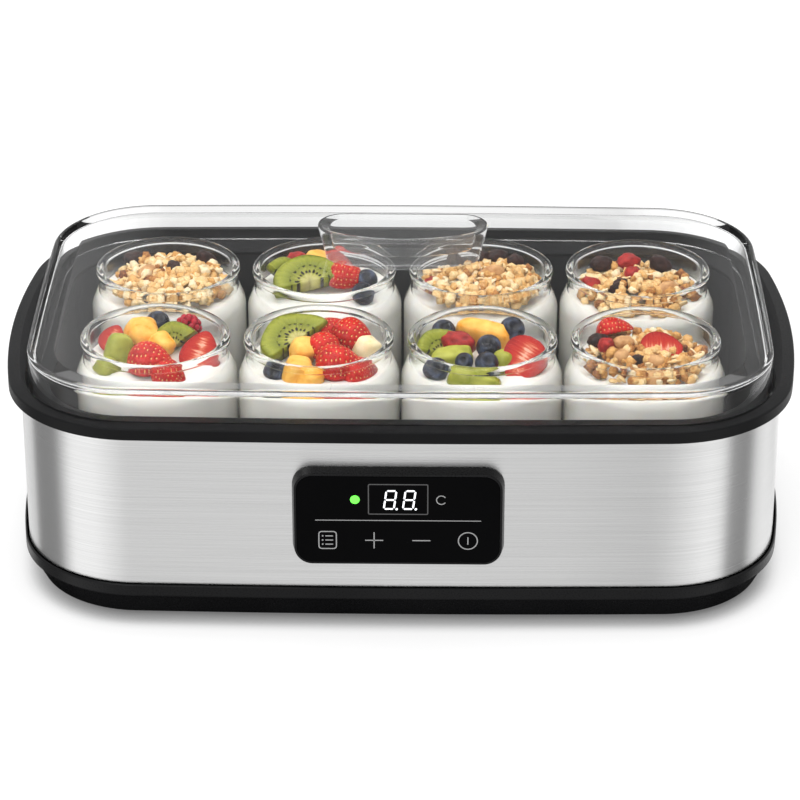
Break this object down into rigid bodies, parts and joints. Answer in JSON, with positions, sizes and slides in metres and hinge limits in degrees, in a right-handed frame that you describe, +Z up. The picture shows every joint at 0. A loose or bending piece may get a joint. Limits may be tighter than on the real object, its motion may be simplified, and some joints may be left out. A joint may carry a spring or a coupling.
{
  "type": "yogurt maker",
  "caption": "Countertop yogurt maker: steel-banded bowed body on a black base, collar, touch control unit, heated tub with rows of glass jars, and a clear lift-off lid with a hollow grip.",
  "frame": {"origin": "on the worktop under the middle of the overall box, where the rubber feet stand", "axes": "+Z up; the control unit faces -Y; +X along the long side, to the right of a person facing the control unit"},
  "size_m": [0.327, 0.1984, 0.1197],
  "materials": {
    "black_plastic": "satin moulded black",
    "black_rubber": "matt",
    "zinc_steel": "zinc plated",
    "brushed_band": "horizontally brushed",
    "tub_plastic": "fine matt",
    "clear_plastic": "clear polished",
    "jar_glass": "clear pressed glass",
    "black_gloss": "high gloss",
    "aluminium_sheet": "mill finish",
    "silicone_cord": "satin",
    "mineral_mat": "needled felt",
    "sensor_steel": "drawn can",
    "green_board": "solder resist",
    "grey_plastic": "moulded",
    "dark_foam": "conductive foam",
    "dark_cable": "satin sleeve",
    "yogurt_cream": "smooth set yogurt"
  },
  "bodies": {
    "base": {"base_tray": "black_plastic", "rubber_feet": "black_rubber", "base_screws": "zinc_steel", "steel_band": "brushed_band", "top_collar": "black_plastic", "inner_tub": "tub_plastic", "heater_plate": "aluminium_sheet", "heating_element": "silicone_cord", "insulation_mat": "mineral_mat", "temperature_sensor": "sensor_steel", "sensor_clip": "zinc_steel", "thermal_fuse": "sensor_steel", "fuse_clip": "zinc_steel", "control_housing": "black_plastic", "control_lens": "black_gloss", "control_board": "green_board", "display_module": "grey_plastic", "status_lamps": "clear_plastic", "touch_foams": "dark_foam", "board_screws": "zinc_steel", "buzzer": "grey_plastic", "cord_gland": "black_plastic", "power_board": "green_board", "supply_screws": "zinc_steel", "film_capacitor": "grey_plastic", "smoothing_capacitor": "grey_plastic", "power_triac": "grey_plastic", "terminal_block": "grey_plastic", "heater_leads": "silicone_cord", "control_harness": "dark_cable"},
    "lid": {"lid_shell": "clear_plastic", "lid_handle": "clear_plastic"},
    "jar_1": {"jar_1": "jar_glass", "yogurt_1": "yogurt_cream"},
    "jar_2": {"jar_2": "jar_glass", "yogurt_2": "yogurt_cream"},
    "jar_3": {"jar_3": "jar_glass", "yogurt_3": "yogurt_cream"},
    "jar_4": {"jar_4": "jar_glass", "yogurt_4": "yogurt_cream"},
    "jar_5": {"jar_5": "jar_glass", "yogurt_5": "yogurt_cream"},
    "jar_6": {"jar_6": "jar_glass", "yogurt_6": "yogurt_cream"},
    "jar_7": {"jar_7": "jar_glass", "yogurt_7": "yogurt_cream"},
    "jar_8": {"jar_8": "jar_glass", "yogurt_8": "yogurt_cream"}
  },
  "joints": [
    {"name": "lid_lift", "type": "slide", "parent": "base", "child": "lid", "axis": [0, 0, 1], "range_m": [0, 0.16]},
    {"name": "jar_1_lift", "type": "slide", "parent": "base", "child": "jar_1", "axis": [0, 0, 1], "range_m": [0, 0.08]},
    {"name": "jar_2_lift", "type": "slide", "parent": "base", "child": "jar_2", "axis": [0, 0, 1], "range_m": [0, 0.08]},
    {"name": "jar_3_lift", "type": "slide", "parent": "base", "child": "jar_3", "axis": [0, 0, 1], "range_m": [0, 0.08]},
    {"name": "jar_4_lift", "type": "slide", "parent": "base", "child": "jar_4", "axis": [0, 0, 1], "range_m": [0, 0.08]},
    {"name": "jar_5_lift", "type": "slide", "parent": "base", "child": "jar_5", "axis": [0, 0, 1], "range_m": [0, 0.08]},
    {"name": "jar_6_lift", "type": "slide", "parent": "base", "child": "jar_6", "axis": [0, 0, 1], "range_m": [0, 0.08]},
    {"name": "jar_7_lift", "type": "slide", "parent": "base", "child": "jar_7", "axis": [0, 0, 1], "range_m": [0, 0.08]},
    {"name": "jar_8_lift", "type": "slide", "parent": "base", "child": "jar_8", "axis": [0, 0, 1], "range_m": [0, 0.08]}
  ],
  "couplings": [
    {"joint": "jar_1_lift", "follows": "lid_lift", "ratio": 0.5},
    {"joint": "jar_2_lift", "follows": "lid_lift", "ratio": 0.5},
    {"joint": "jar_3_lift", "follows": "lid_lift", "ratio": 0.5},
    {"joint": "jar_4_lift", "follows": "lid_lift", "ratio": 0.5},
    {"joint": "jar_5_lift", "follows": "lid_lift", "ratio": 0.5},
    {"joint": "jar_6_lift", "follows": "lid_lift", "ratio": 0.5},
    {"joint": "jar_7_lift", "follows": "lid_lift", "ratio": 0.5},
    {"joint": "jar_8_lift", "follows": "lid_lift", "ratio": 0.5}
  ]
}
